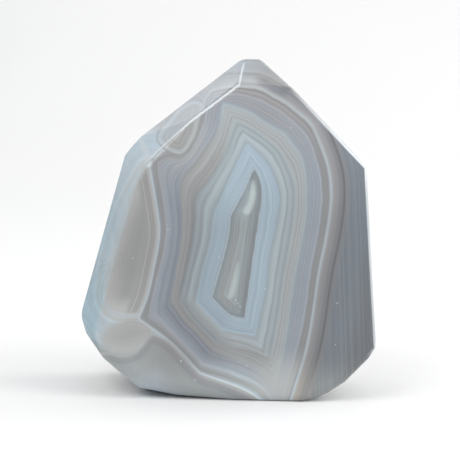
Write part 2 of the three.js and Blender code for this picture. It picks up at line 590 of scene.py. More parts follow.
def left_of_axis():
    axis = NEST_FOOT - NEST_TOP
    axis = axis / np.hypot(*axis)
    away = pixels - NEST_TOP
    return (axis[0] * away[:, 1] - axis[1] * away[:, 0]) * PIXEL / MM


def past(place, soft):
    """Zero before a place on the way round the nest, and one after it."""
    return np.clip((around - place) / soft + 0.5, 0.0, 1.0)


def depth_under(turn, lean):
    """How far a point lies under the flat face that looks that way, in millimetres."""
    turn = math.radians(turn)
    lean = math.radians(lean)
    normal = [math.cos(turn) * math.cos(lean), -math.sin(lean), math.sin(turn) * math.cos(lean)]
    reach = points @ np.array(normal)
    return (reach.max() - reach) / MM


def upright_lines():
    """Like the distance from the wall, but below the widest place the lines stay upright."""
    right, down = (pixels - WIDEST).T
    level = (right - UPRIGHT_SLOPE * down) * PIXEL / MM
    below = soft_step(down / UPRIGHT_FADE + 0.5)
    return wall * (1.0 - below) + level * below


print("Farthest left of the nest's axis, in mm:", round(left_of_axis().max(), 1))

# %% The ridge along the top left
# The distance from this ridge places a painted highlight along it.
TOP_LEFT_FACE = (130.0, 0.8)        # its turn and lean in degrees
RIDGE_REACH = 1.6                   # millimetres: further in than this, a point is on no edge
JUNCTION = (239.6, 83.5)
UPPER_RIDGE = [JUNCTION, (241.5, 73), (244, 63)]
front = (points[:, 1] - FRONT_Y) / MM
top_left = depth_under(*TOP_LEFT_FACE)
off_edge = np.maximum(np.maximum(front, top_left) - RIDGE_REACH, 0.0)
off_edge += np.maximum(pixels[:, 0] - JUNCTION[0], 0.0) * PIXEL / MM
ridge = np.abs(front - top_left) / math.sqrt(2.0) + off_edge
ridge = np.minimum(ridge, shortest([UPPER_RIDGE]))
print("Points within half a millimetre of the ridge:", int((ridge < 0.5).sum()))

# %% Store the numbers
# How white the wall is at places on the way round, from 0 to 5
WALL_TURNS = [0.0, 0.35, 0.95, 1.05, 1.6, 1.95, 2.2, 2.8, 3.1, 4.0, 4.05, 4.9, 5.0]
WALL_WHITENESS = [0.05, 0.25, 0.5, 1.25, 1.25, 1.0, 0.5, 0.7, 0.7, 0.7, 0.0, 0.0, 0.05]
# Where a side begins on the way round, and how softly
SIDE_STARTS = {"bottom": (1.0, 0.1), "low_left": (1.85, 0.5), "left": (3.0, 0.2),
               "up_left": (4.05, 0.5)}
TOP_BEGINS = (4.95, 0.05)
RIGHT_RETURNS = (4.65, 0.4)
APEX_BEGINS = (4.8, 0.3)
APEX_ENDS = (0.27, 0.2)
before_top = 1.0 - past(*TOP_BEGINS)


def store(name, numbers):
    if name in stone.data.attributes:
        stone.data.attributes.remove(stone.data.attributes[name])
    layer = stone.data.attributes.new(name=name, type="FLOAT", domain="POINT")
    layer.data.foreach_set("value", numbers.astype(np.float32))
    print("%-8s from %7.2f to %7.2f" % (name, numbers.min(), numbers.max()))


store("band", band)
store("wall", wall)
for name, (place, soft) in SIDE_STARTS.items():
    store(name, past(place, soft) * before_top)
store("right", past(*RIGHT_RETURNS))
store("apex", np.maximum(past(*APEX_BEGINS), 1.0 - past(*APEX_ENDS)))
store("white", np.interp(around, WALL_TURNS, WALL_WHITENESS))
store("leftness", left_of_axis())
store("turned", 1.0 + normals[:, 1])
store("hidden", stone_in_front(points))
store("upright", upright_lines())
store("ridge", ridge)
for name, outline in (("eye", EYE), ("lens", WARM_LENS), ("oval", OVAL), ("heel", HEEL)):
    store(name, depth_outside(closed(outline))[0])
for name, lines in (("branch", [BRANCH]), ("cap_line", [CAP_LINE]), ("arcs", FACET_ARCS)):
    store(name, shortest(lines))
tongues = [depth_outside(closed(tongue))[0] for tongue in (UPPER_TONGUE, LOWER_TONGUE)]
store("tongue", np.minimum(*tongues))

# %% [markdown]
# ## Colours of quartz
# All of it is the same mineral. The colours come from how fine its fibres are and from traces of
# iron, and they lie close together: a cold pale blue, greys that lean to green, to beige or to
# lilac, a brown that is hardly brown, and white where the fibres are coarse.

# %% The palette
PALETTE = {
    "snow": "d4d9db",
    "chalk": "c6c7c4",
    "white": "b8c0c4",
    "pale": "adb5ba",
    "ice": "acbcc7",
    "blue": "a5b5c0",
    "deep blue": "9dadb8",
    "dim blue": "98a6b0",
    "mist": "adb7bb",
    "green": "a3aeb2",
    "grey green": "98a1a5",
    "moss": "90989c",
    "dark moss": "868d91",
    "linen": "aaabab",
    "beige": "a6aaab",
    "warm beige": "a1a2a0",
    "clay": "979897",
    "pink grey": "959193",
    "warm brown": "a29d9a",
    "lens grey": "999896",
    "cream": "aaa8a6",
    "oat": "b4b3b0",
    "brown": "8d8e8f",
    "dark brown": "828386",
    "dusk": "9fa2a7",
    "lilac": "9ea3ab",
    "slate": "949ca5",
    "dark slate": "888f98",
    "deep slate": "7f868e",
    "rock": "797f87",
    "steel": "6f7e8c",
    "dark rock": "6e6e70",
    "cloud": "abb7be",
    "clear": "bfcac9",
}


STONE_DEPTH = 0.84                  # the lamps are bright, so the stone itself is a little darker
STONE_COOL = (0.98, 1.0, 1.02)      # white reflections wash out its blue, so the blue is stronger


def to_linear(value):
    return value / 12.92 if value <= 0.04045 else ((value + 0.055) / 1.055) ** 2.4


def colour(name):
    code = PALETTE[name]
    parts = [int(code[i:i + 2], 16) / 255 for i in (0, 2, 4)]
    return [STONE_DEPTH * cool * to_linear(part) for part, cool in zip(parts, STONE_COOL)] + [1.0]


print("Palette of", len(PALETTE), "colours")

# %% [markdown]
# ## Helpers for shader nodes
# A shader is a tree of small steps. These helpers each add one step and hand back its output, so
# that a line of Python reads like a line of the recipe: mix this over that where the mask is one.

# %% Node helpers
def add(tree, kind, **settings):
    node = tree.nodes.new(kind)
    for name, value in settings.items():
        setattr(node, name, value)
    return node


def feed(tree, socket, value):
    if isinstance(value, bpy.types.NodeSocket):
        tree.links.new(value, socket)
    else:
        socket.default_value = value


def maths(tree, kind, first, second=0.0):
    node = add(tree, "ShaderNodeMath", operation=kind)
    feed(tree, node.inputs[0], first)
    feed(tree, node.inputs[1], second)
    return node.outputs[0]


def times(tree, first, *others):
    """Masks multiplied: the result is one only where all of them are."""
    for other in others:
        first = maths(tree, "MULTIPLY", first, other)
    return first


def mix(tree, mask, under, over, kind="MIX"):
    node = add(tree, "ShaderNodeMix", data_type="RGBA", blend_type=kind)
    feed(tree, node.inputs["Factor"], mask)
    feed(tree, node.inputs["A"], under)
    feed(tree, node.inputs["B"], over)
    return node.outputs["Result"]


def film(tree, under, shade, mask=1.0):
    """A see-through film over a colour. A shade above one makes it lighter."""
    shade = (*shade, 1.0) if isinstance(shade, tuple) else shade
    return mix(tree, mask, under, shade, "MULTIPLY")


print("Helpers: add, feed, maths, times, mix, film")

# %% From one range of numbers to another
RANGE = ("From Min", "From Max", "To Min", "To Max")


def map_range(tree, value, span, **settings):
    node = add(tree, "ShaderNodeMapRange", **settings)
    feed(tree, node.inputs["Value"], value)
    for name, end in zip(RANGE, span):
        node.inputs[name].default_value = end
    return node.outputs["Result"]


def fade(tree, value, start, end, low=0.0, high=1.0):
    return map_range(tree, value, (start, end, low, high), interpolation_type="SMOOTHSTEP")


def fades_of(tree, numbers):
    """A short way to write a fade over one of the numbers that a tree is given."""
    return lambda name, *span: fade(tree, numbers[name], *span)


def bands(tree, value, low, high, stops):
    """Colours along a number that runs from low to high: pairs of a place and a colour's name."""
    node = add(tree, "ShaderNodeValToRGB")
    feed(tree, node.inputs["Fac"], map_range(tree, value, (low, high, 0.0, 1.0)))
    ramp = node.color_ramp.elements
    while len(ramp) < len(stops):
        ramp.new(1.0)
    for element, (place, name) in zip(ramp, stops):
        element.position = (place - low) / (high - low)
        element.color = colour(name)
    return node.outputs["Color"]


print("A range of numbers is given as:", ", ".join(RANGE))

# %% Fine lines and clouds from noise
NOISE_LOW = 0.3                     # noise seldom leaves the range between these two
NOISE_HIGH = 0.7


def grey_noise(tree, noise, strength):
    span = (NOISE_LOW, NOISE_HIGH, 1.0 - strength, 1.0 + strength)
    return map_range(tree, noise.outputs["Fac"], span, clamp=False)


def fine_lines(tree, value, per_unit, strength, seed):
    """Grey lines across the bands, to be laid over a colour as a film.

    per_unit is how many there are to a band or a millimetre, and seed picks one of many patterns.
    """
    noise = add(tree, "ShaderNodeTexNoise", noise_dimensions="1D")
    shifted = maths(tree, "ADD", maths(tree, "MULTIPLY", value, per_unit), seed)
    feed(tree, noise.inputs["W"], shifted)
    noise.inputs["Scale"].default_value = 1.0
    noise.inputs["Detail"].default_value = 2.0
    noise.inputs["Roughness"].default_value = 0.6
    return grey_noise(tree, noise, strength)


def clouds(tree, place, size_mm, strength, seed):
    """Slow grey clouds through the whole stone."""
    noise = add(tree, "ShaderNodeTexNoise", noise_dimensions="4D")
    feed(tree, noise.inputs["Vector"], place)
    noise.inputs["W"].default_value = seed
    noise.inputs["Scale"].default_value = 1.0 / (size_mm * MM)
    noise.inputs["Detail"].default_value = 2.0
    return grey_noise(tree, noise, strength)


def distance_to(tree, place, point):
    node = add(tree, "ShaderNodeVectorMath", operation="DISTANCE")
    feed(tree, node.inputs[0], place)
    node.inputs[1].default_value = point
    return node.outputs["Value"]


print("Noise is stretched from", NOISE_LOW, "to", NOISE_HIGH)

# %% A node group with named inputs
NUMBER = "NodeSocketFloat"
COLOUR = "NodeSocketColor"
VECTOR = "NodeSocketVector"


def new_group(name, labels, takes=NUMBER, gives=COLOUR):
    group = bpy.data.node_groups.new(name, "ShaderNodeTree")
    for label in labels:
        group.interface.new_socket(label, in_out="INPUT", socket_type=takes)
    group.interface.new_socket("Result", in_out="OUTPUT", socket_type=gives)
    given = group.nodes.new("NodeGroupInput").outputs
    made = group.nodes.new("NodeGroupOutput").inputs["Result"]
    return group, given, made


print("Kinds of socket:", NUMBER, COLOUR, VECTOR)

# %% [markdown]
# ## The bands of the nest
# From the core out: cold blue quartz with hair lines, a pale green band, a dark line, pale green
# again, a second dark line, a broad beige band, then slate and lilac in many thin lines, and last a
# strip of brown that lies against the wall. The bands are palest at the foot and at the apex, and
# darkest with the hardest lines on the left, so each of the five sides has a list of its own.

# %% Nest colours
RIGHT_SIDE = [
    (0.0, "deep blue"), (0.18, "blue"), (0.35, "blue"), (0.42, "deep blue"), (0.55, "ice"),
    (0.68, "blue"), (0.85, "blue"), (0.96, "deep blue"), (1.02, "grey green"), (1.12, "green"),
    (1.45, "mist"), (1.6, "mist"), (1.74, "grey green"), (1.86, "grey green"), (1.95, "green"),
    (2.15, "green"), (2.35, "green"), (2.6, "grey green"), (2.85, "grey green"),
    (2.98, "green"), (3.1, "beige"), (3.3, "beige"), (3.65, "beige"), (3.85, "green"),
    (4.0, "slate"), (4.15, "slate"), (4.35, "lilac"), (4.5, "slate"), (4.82, "lilac"),
    (4.95, "brown"), (5.65, "brown"), (5.88, "pale"),
]
BOTTOM_SIDE = [
    (0.0, "dim blue"), (0.15, "blue"), (0.7, "blue"), (0.82, "deep blue"), (0.93, "ice"),
    (1.02, "green"), (1.15, "beige"), (1.35, "pale"), (1.55, "pale"), (1.7, "beige"),
    (1.84, "warm beige"), (1.97, "beige"), (2.15, "mist"), (2.4, "beige"), (2.7, "beige"),
    (2.95, "warm beige"), (3.1, "clay"), (3.25, "beige"), (3.5, "warm beige"), (3.75, "beige"),
    (3.97, "linen"), (4.08, "lilac"), (4.22, "dusk"), (4.4, "pale"), (4.55, "lilac"),
    (4.75, "pale"), (4.92, "white"), (5.05, "linen"), (5.2, "warm beige"), (5.5, "warm beige"),
    (5.7, "pale"), (6.0, "white"),
]
LOW_LEFT_SIDE = [
    (0.0, "dim blue"), (0.2, "deep blue"), (0.5, "deep blue"), (0.7, "dim blue"), (0.9, "blue"),
    (1.02, "beige"), (1.15, "green"), (1.35, "warm beige"), (1.55, "grey green"), (1.75, "clay"),
    (1.92, "grey green"), (2.08, "moss"), (2.3, "moss"), (2.55, "dark moss"), (2.9, "moss"),
    (3.12, "clay"), (3.3, "brown"), (3.45, "brown"), (3.65, "clay"), (3.85, "brown"),
    (3.98, "dark brown"), (4.1, "dark slate"), (4.25, "deep slate"), (4.45, "dark slate"),
    (4.65, "slate"), (4.82, "dusk"), (4.95, "dusk"), (5.08, "clay"), (5.3, "brown"),
    (5.6, "brown"), (5.78, "clay"), (6.0, "dusk"),
]
LEFT_SIDE = [
    (0.0, "grey green"), (0.12, "dim blue"), (0.3, "deep blue"), (0.62, "deep blue"),
    (0.8, "dim blue"), (0.92, "deep blue"), (1.0, "grey green"),
    (1.15, "moss"), (1.75, "green"), (1.88, "grey green"), (2.0, "moss"),
    (2.15, "dark moss"), (2.3, "moss"), (2.5, "grey green"), (2.8, "moss"), (2.95, "dark moss"),
    (3.1, "dark brown"), (3.25, "brown"), (3.4, "clay"), (3.5, "brown"), (3.7, "clay"),
    (3.88, "clay"), (4.0, "dark slate"), (4.15, "deep slate"), (4.38, "slate"),
    (4.6, "dark slate"), (4.85, "slate"), (4.98, "lilac"), (5.12, "dusk"), (5.4, "brown"),
    (5.7, "brown"), (5.88, "slate"),
]
UP_LEFT_SIDE = [
    (0.0, "ice"), (0.15, "blue"), (0.4, "ice"), (0.5, "blue"), (0.7, "ice"), (0.92, "blue"),
    (1.02, "grey green"), (1.2, "green"), (1.65, "mist"), (1.85, "mist"), (2.0, "green"),
    (2.15, "grey green"), (2.3, "green"), (2.6, "green"), (2.95, "grey green"), (3.08, "clay"),
    (3.2, "warm beige"), (3.4, "clay"), (3.6, "linen"), (3.78, "warm beige"), (3.92, "clay"),
    (4.02, "dusk"), (4.2, "lilac"), (4.35, "dusk"), (4.6, "linen"), (4.78, "dusk"),
    (4.92, "warm beige"), (5.1, "clay"), (5.3, "pink grey"), (5.5, "clay"), (5.75, "warm beige"),
    (6.0, "beige"),
]
OTHER_SIDES = {"Bottom": BOTTOM_SIDE, "LowLeft": LOW_LEFT_SIDE, "Left": LEFT_SIDE,
               "UpLeft": UP_LEFT_SIDE}
print("Colours down the right:", len(RIGHT_SIDE))
print("Colours on the other sides:", {name: len(stops) for name, stops in OTHER_SIDES.items()})

# %% One side's colours over the last
APEX_SHADE = (0.98, 0.92, 0.88)     # the slate bands are warmer near the apex


def nest_group():
    group, given, made = new_group("nest bands", ("Band", *OTHER_SIDES, "Right", "Apex"))
    by = fades_of(group, given)
    band = given["Band"]
    right = bands(group, band, 0.0, WALL_BAND, RIGHT_SIDE)
    nest = right
    for name, stops in OTHER_SIDES.items():
        nest = mix(group, given[name], nest, bands(group, band, 0.0, WALL_BAND, stops))
    nest = mix(group, given["Right"], nest, right)
    paler_strip = times(group, by("Band", 4.85, 5.05), by("Band", 5.5, 5.3), given["Apex"], 0.8)
    nest = mix(group, paler_strip, nest, colour("dusk"))
    warm_lines = fade(group, fine_lines(group, band, 8.0, 1.0, 63.4), 1.1, 1.7, 0.0, 0.4)
    nest = mix(group, times(group, warm_lines, by("Band", 1.9, 2.2)), nest, colour("pink grey"))
    nest = film(group, nest, fine_lines(group, band, 16.0, 0.05, 3.7))
    nest = film(group, nest, fine_lines(group, band, 6.0, 0.03, 41.2))
    in_slate = times(group, by("Band", 3.9, 4.1), by("Band", 5.9, 5.5))
    nest = film(group, nest, fine_lines(group, band, 13.0, 0.08, 77.0), in_slate)
    nest = film(group, nest, APEX_SHADE, times(group, in_slate, given["Apex"]))
    from_hair_line = maths(group, "ABSOLUTE", maths(group, "SUBTRACT", band, 0.07))
    nest = mix(group, fade(group, from_hair_line, 0.06, 0.0, 0.0, 0.6), nest, colour("white"))
    feed(group, made, nest)
    return group


nest_bands = nest_group()
print("Nest group has", len(nest_bands.nodes), "nodes")

# %% [markdown]
# ## The core
# The core is what was still empty when the blue quartz had grown. A white hair line and a thin dark
# rim go round it. Inside are streaks of beige and grey green, and the two clear tongues, which fade
# into the quartz round them.

# %% Core colours
CORE_MIDDLE = -3.2                  # millimetres inside the edge of the core
CORE_BANDS = [
    (CORE_MIDDLE, "warm beige"), (-2.6, "green"), (-2.2, "clay"), (-1.8, "grey green"),
    (-1.5, "clay"), (-1.15, "grey green"), (-0.85, "moss"), (-0.5, "moss"),
    (-0.25, "dark moss"), (-0.08, "grey green"), (0.0, "pale"),
]
CORE_SHADE = (0.93, 0.95, 0.95)


def core_group():
    group, given, made = new_group("core", ("Band", "Leftness", "Tongue", "Height"))
    by = fades_of(group, given)
    core = bands(group, given["Band"], CORE_MIDDLE, 0.0, CORE_BANDS)
    core = film(group, core, CORE_SHADE)
    inside = by("Band", -0.3, -0.9)
    upper = by("Height", 41 * MM, 45 * MM)
    left_tint = times(group, inside, by("Leftness", 0.8, 2.2, 0.0, 0.2))
    core = mix(group, left_tint, core, colour("warm brown"))
    right_edge = times(group, by("Band", -1.4, -0.7), by("Leftness", -0.5, -1.2, 0.0, 0.6),
                       fade(group, upper, 0.0, 1.0, 1.0, 0.4))
    core = mix(group, right_edge, core, colour("dark brown"))
    core = film(group, core, fine_lines(group, given["Leftness"], 3.4, 0.09, 8.1), inside)
    wedge = times(group, by("Tongue", 2.6, 0.2, 0.0, 0.6), upper, by("Leftness", -0.9, -0.1))
    core = mix(group, wedge, core, colour("green"))
    clear_quartz = times(group, by("Tongue", 0.5, -0.7), fade(group, upper, 0.0, 1.0, 0.75, 1.0))
    core = mix(group, clear_quartz, core, colour("clear"))
    feed(group, made, core)
    return group


core_bands = core_group()
print("Core group has", len(core_bands.nodes), "nodes")

# %% [markdown]
# ## Outside the wall
# To the right of the wall comes a pink-brown strip, a dark line, and then dull blue grey with many
# upright stripes that keep to the wall's course. It is darker just under the apex, and pale and warm
# at the foot. To the left of the lens lies a skin that is paler and bluer.

# %% Rock colours
ROCK_REACH = 14.0                   # millimetres from the wall
SKIN_REACH = 12.0                   # millimetres from the lens
ROCK_BANDS = [
    (0.0, "pale"), (0.25, "dusk"), (0.65, "clay"), (1.2, "pink grey"), (1.7, "brown"),
    (2.2, "dark brown"), (2.7, "dark brown"), (3.1, "dark rock"), (3.35, "dark rock"),
    (3.7, "dark brown"), (5.2, "rock"), (9.0, "rock"), (ROCK_REACH, "dark rock"),
]
SKIN_BANDS = [
    (0.0, "oat"), (0.8, "white"), (1.6, "oat"), (2.4, "white"), (3.4, "pale"),
    (4.2, "pale"), (5.5, "cloud"), (8.0, "pale"), (10.0, "clay"), (SKIN_REACH, "clay"),
]
CAP_SHADE = (0.76, 0.79, 0.84)      # just outside the wall, under the apex
TOP_SHADE = (0.62, 0.62, 0.6)       # the same strip where it runs over the top face
FOOT_SHADE = (1.38, 1.26, 1.1)      # pale and warm at the foot


def rock_group():
    group, given, made = new_group("outside the wall",
                                   ("Wall", "Upright", "Lens", "Leftness", "Height"))
    by = fades_of(group, given)
    rock = bands(group, given["Wall"], 0.0, ROCK_REACH, ROCK_BANDS)
    outer = by("Wall", 3.4, 4.6)
    broad = fine_lines(group, given["Upright"], 1.1, 0.5, 23.1)
    green = fade(group, broad, 0.7, 1.5, 0.0, 0.35)
    rock = mix(group, times(group, green, outer), rock, colour("moss"))
    rock = film(group, rock, fine_lines(group, given["Upright"], 4.2, 0.048, 5.5), outer)
    rock = film(group, rock, fine_lines(group, given["Wall"], 4.0, 0.05, 12.5))
    level = times(group, by("Height", 58 * MM, 34 * MM, 1.0, 0.92),
                  by("Height", 54 * MM, 66 * MM, 1.0, 1.08))
    rock = film(group, rock, level)
    under_cap = times(group, by("Wall", 0.3, 1.2), by("Wall", 3.0, 2.5),
                      by("Height", 67 * MM, 73 * MM), by("Leftness", 1.0, -2.5),
                      by("Leftness", -9.0, -6.5, 0.2))
    rock = film(group, rock, CAP_SHADE, under_cap)
    on_top = times(group, under_cap, by("Height", 76.5 * MM, 78 * MM))
    rock = film(group, rock, TOP_SHADE, on_top)
    low_foot = by("Height", 14 * MM, 1 * MM)
    rock = film(group, rock, FOOT_SHADE, low_foot)
    faint_line = times(group, by("Wall", 2.4, 3.0), by("Wall", 4.0, 3.4), low_foot, 0.7)
    rock = mix(group, faint_line, rock, colour("pink grey"))

    skin = bands(group, given["Lens"], 0.0, SKIN_REACH, SKIN_BANDS)
    skin = film(group, skin, fine_lines(group, given["Lens"], 0.9, 0.07, 17.0))
    feed(group, made, mix(group, by("Leftness", 8.0, 14.0), rock, skin))
    return group


rock_bands = rock_group()
print("Rock group has", len(rock_bands.nodes), "nodes")

# %% [markdown]
# ## The smaller forms
# The lens, the oval, the heel and the eye share one recipe: a list of colours that starts on their
# outline and goes inwards, with faint lines along it. One group does it, and each form has its own.

# %% Colours of the smaller forms
FORMS = {
    "lens": [
        (0.0, "pale"), (0.9, "cream"), (1.3, "lens grey"), (1.9, "lens grey"), (2.25, "clay"),
        (2.55, "cream"), (2.85, "lens grey"), (3.3, "clay"), (12.0, "lens grey"),
    ],
    "oval": [
        (-5.0, "lens grey"), (0.0, "cream"), (1.0, "linen"), (1.6, "pale"),
    ],
    "heel": [
        (-14.0, "dusk"), (-9.0, "dusk"), (-5.0, "clay"), (-2.4, "clay"),
        (-1.3, "brown"), (-0.4, "pink grey"), (0.0, "warm beige"), (0.5, "linen"),
    ],
    "eye": [
        (-4.5, "clay"), (-3.0, "warm beige"), (-2.2, "clay"), (-1.7, "warm beige"),
        (-1.2, "clay"), (-0.8, "warm beige"), (-0.5, "linen"), (-0.15, "pale"),
        (0.1, "linen"), (0.4, "clay"), (0.75, "brown"), (1.0, "clay"),
    ],
}


def form_group(name, stops):
    group, given, made = new_group(name + " colours", ["Depth"])
    form = bands(group, given["Depth"], stops[0][0], stops[-1][0], stops)
    rings = fine_lines(group, given["Depth"], 1.7, 0.015, 11.0 + len(stops))
    feed(group, made, film(group, form, rings))
    return group


form_groups = {name: form_group(name, stops) for name, stops in FORMS.items()}
print("Groups for", ", ".join(form_groups))

# %% [markdown]
# ## Small pits
# The polish left a few tiny pits and chips that catch the light. Those that the picture shows are
# put at their places on the front face, as small soft white dots.

# %% Pits on the front face
PITS = [
    (219, 257), (265, 289), (133, 258), (335, 345), (168, 229), (247, 366), (240, 362),
    (181, 361), (195, 380), (291, 128), (337, 303), (238, 303), (240, 306), (236, 300),
]
PIT_RADIUS = 0.34 * MM
PIT_NOISE = 2500.0                  # noise that makes their outlines ragged
PIT_EVEN = 0.42                     # the noise value that leaves an outline where it is


def pits_group():
    group, given, made = new_group("pits", ["Place"], takes=VECTOR, gives=NUMBER)
    noise = add(group, "ShaderNodeTexNoise")
    feed(group, noise.inputs["Vector"], given["Place"])
    noise.inputs["Scale"].default_value = PIT_NOISE
    ragged = maths(group, "MULTIPLY", maths(group, "SUBTRACT", noise.outputs["Fac"], PIT_EVEN), MM)
    nearest = distance_to(group, given["Place"], on_front(PITS[0]))
    for pixel in PITS[1:]:
        gap = distance_to(group, given["Place"], on_front(pixel))
        nearest = maths(group, "MINIMUM", nearest, gap)
    nearest = maths(group, "ADD", nearest, ragged)
    feed(group, made, fade(group, nearest, PIT_RADIUS, 0.2 * PIT_RADIUS, 0.0, 0.8))
    return group


pits = pits_group()
print("Pits placed:", len(PITS))

# %% [markdown]
# ## The stone's material
# Now the parts are laid over each other like sheets of coloured film. The rock lies at the bottom.
# The left-hand forms come next, then the nest inside its wall, the core, the pale line of the wall,
# and the eye on top.
#
# The shader knows each stored number by its name, and the place on the stone from its Object
# coordinates: `across` to the right, `deep` to the back and `height` above the table. `by` is a
# fade over a stored number, and `along` is a fade over a place that is given in millimetres.

# %% Start the material
def use_group(tree, group, **inputs):
    node = add(tree, "ShaderNodeGroup", node_tree=group)
    for name, value in inputs.items():
        feed(tree, node.inputs[name], value)
    return node.outputs[0]


def attribute(tree, name):
    return add(tree, "ShaderNodeAttribute", attribute_name=name).outputs["Fac"]


NUMBERS = ("band", "wall", "bottom", "low_left", "left", "up_left", "right", "apex", "white",
           "leftness", "turned", "hidden", "upright", "ridge", "eye", "lens", "oval", "heel",
           "branch", "cap_line", "arcs", "tongue")
agate = bpy.data.materials.new("banded agate")
agate.use_nodes = True
tree = agate.node_tree
shader = tree.nodes["Principled BSDF"]
place = add(tree, "ShaderNodeTexCoord").outputs["Object"]
shape = add(tree, "ShaderNodeSeparateXYZ")
feed(tree, shape.inputs["Vector"], place)
across, deep, height = (shape.outputs[axis] for axis in "XYZ")
number = {name: attribute(tree, name) for name in NUMBERS}
by = fades_of(tree, number)


def along(axis, start, end, low=0.0, high=1.0):
    return fade(tree, axis, start * MM, end * MM, low, high)


def tell_nodes(laid):
    print(laid, "laid:", len(tree.nodes), "nodes so far")


print("Numbers read from the mesh:", len(number))

# %% Rock, heel, oval and lens
surface = use_group(tree, rock_bands, Wall=number["wall"], Upright=number["upright"],
                    Lens=number["lens"], Leftness=number["leftness"], Height=height)
surface = mix(tree, by("cap_line", 0.5, 0.1, 0.0, 0.6), surface, colour("dark rock"))
for form, edge in (("heel", (0.9, -0.3)), ("oval", (1.6, -0.6))):
    painted = use_group(tree, form_groups[form], Depth=number[form])
    surface = mix(tree, by(form, *edge), surface, painted)

lens = use_group(tree, form_groups["lens"], Depth=number["wall"])
left_part = by("wall", 2.5, 4.5)
lens_light = times(tree, by("lens", -5.5, -0.3, 0.0, 0.85), left_part)
lens = mix(tree, lens_light, lens, colour("oat"))
lens = film(tree, lens, along(height, 34, 20, 1.0, 1.12))
surface = mix(tree, by("lens", 0.9, -1.0), surface, lens)
lens_rim = fade(tree, maths(tree, "ABSOLUTE", number["lens"]), 0.5, 0.0, 0.0, 0.6)
lens_rim = times(tree, lens_rim, left_part, along(height, 40, 25, 0.2, 1.0))
surface = mix(tree, lens_rim, surface, colour("white"))
tell_nodes("Rock, heel, oval and lens")

# %% Lay the nest over it
WOBBLE = 0.16                       # the bands are never quite straight: this much of a band
WOBBLE_NOISE = 260.0
wave = add(tree, "ShaderNodeTexNoise")
feed(tree, wave.inputs["Vector"], place)
wave.inputs["Scale"].default_value = WOBBLE_NOISE
wave.inputs["Detail"].default_value = 2.0
wave = maths(tree, "MULTIPLY", maths(tree, "SUBTRACT", wave.outputs["Fac"], 0.5), WOBBLE)
wavy = maths(tree, "ADD", number["band"], wave)

nest = use_group(tree, nest_bands, Band=wavy, Bottom=number["bottom"], LowLeft=number["low_left"],
                 Left=number["left"], UpLeft=number["up_left"], Right=number["right"],
                 Apex=number["apex"])
core = use_group(tree, core_bands, Band=number["band"], Leftness=number["leftness"],
                 Tongue=number["tongue"], Height=height)
nest = mix(tree, by("band", 0.06, -0.06), nest, core)
surface = mix(tree, by("wall", 0.08, -0.08), surface, nest)
eye = use_group(tree, form_groups["eye"], Depth=number["eye"])
surface = mix(tree, by("eye", 1.0, 0.5), surface, eye)
tell_nodes("Nest, core and eye")

# %% The pale wall
wall_line = times(tree, by("wall", -0.25, 0.0), by("wall", 0.7, 0.0),
                  maths(tree, "MINIMUM", number["white"], 0.9), by("eye", 0.2, 0.8))
surface = mix(tree, wall_line, surface, colour("white"))
off_wall = maths(tree, "ABSOLUTE", number["wall"])
apex_wall = times(tree, fade(tree, off_wall, 0.5, 0.15, 0.0, 0.7), along(height, 58, 66))
surface = mix(tree, apex_wall, surface, colour("linen"))
bright_wall = times(tree, fade(tree, off_wall, 0.42, 0.05), by("white", 0.8, 1.25, 0.0, 0.6))
surface = mix(tree, bright_wall, surface, colour("snow"))
tell_nodes("Wall")

# %% [markdown]
# ## Painted light and shade on the side faces
# Agate lets light in. Where the stone is thin, at its sides, light that went in at the back comes
# out bluer at the front, and a face that looks up takes its tint from the sky. This light, and the
# shade on some faces, is painted: each narrow face gets a film of its own, a colour that multiplies
# what lies under it. A mask keeps it where the surface is turned to the side, where little stone
# lies in front, and between two heights.

# %% Films of painted light and shade
cold_shade = times(tree, by("turned", 0.55, 0.92), by("hidden", 7.0, 1.0), along(height, 36, 58, 1.0, 0.1),
             along(across, 2, -4), by("lens", -1.0, 1.2, 0.5, 1.0))
sky_lit = times(tree, by("turned", 0.6, 0.95), by("hidden", 7.0, 1.0), along(height, 52, 66),
                along(across, 4, 0))
mid_facet_shade = times(tree, sky_lit, along(height, 63, 68), along(height, 76, 72))
tip = times(tree, sky_lit, along(height, 75, 79))
top_face_shade = times(tree, by("turned", 0.5, 0.75), along(height, 74, 76.5), along(across, 3, 7))
at_left = along(across, -16, -24)
low_side_light = times(tree, by("turned", 0.6, 0.9), along(height, 32, 17), at_left)
low_front_light = times(tree, by("turned", 0.9, 0.6), along(height, 26, 10), along(across, -14, -27))
# Shades below one are painted shade and shades above one painted light: blue shade on the left face,
# sky light on the top left face with shade in its middle and light at its tip, shade on the top face,
# and light on the low left rim and the heel.
LIGHT_AND_SHADE_FILMS = {
    "cold left face": (cold_shade, (0.62, 0.78, 0.85)),
    "top left face": (sky_lit, (0.96, 1.04, 1.12)),
    "its middle": (mid_facet_shade, (0.85, 0.89, 0.93)),
    "its tip": (tip, (1.1, 1.18, 1.15)),
    "top face": (top_face_shade, (0.87, 0.87, 0.83)),
    "low left rim": (low_side_light, (1.45, 1.4, 1.36)),
    "light on the heel": (low_front_light, (1.28, 1.32, 1.32)),
}
for mask, shade in LIGHT_AND_SHADE_FILMS.values():
    surface = film(tree, surface, shade, mask)
tell_nodes("Films for the " + ", ".join(LIGHT_AND_SHADE_FILMS))

# %% Arcs and branch, the painted highlight on the ridge, and the edges of the right side with their painted highlight
surface = mix(tree, by("arcs", 1.1, 0.0, 0.0, 0.4), surface, colour("cloud"))
surface = mix(tree, by("branch", 1.1, 0.3, 0.0, 0.7), surface, colour("white"))
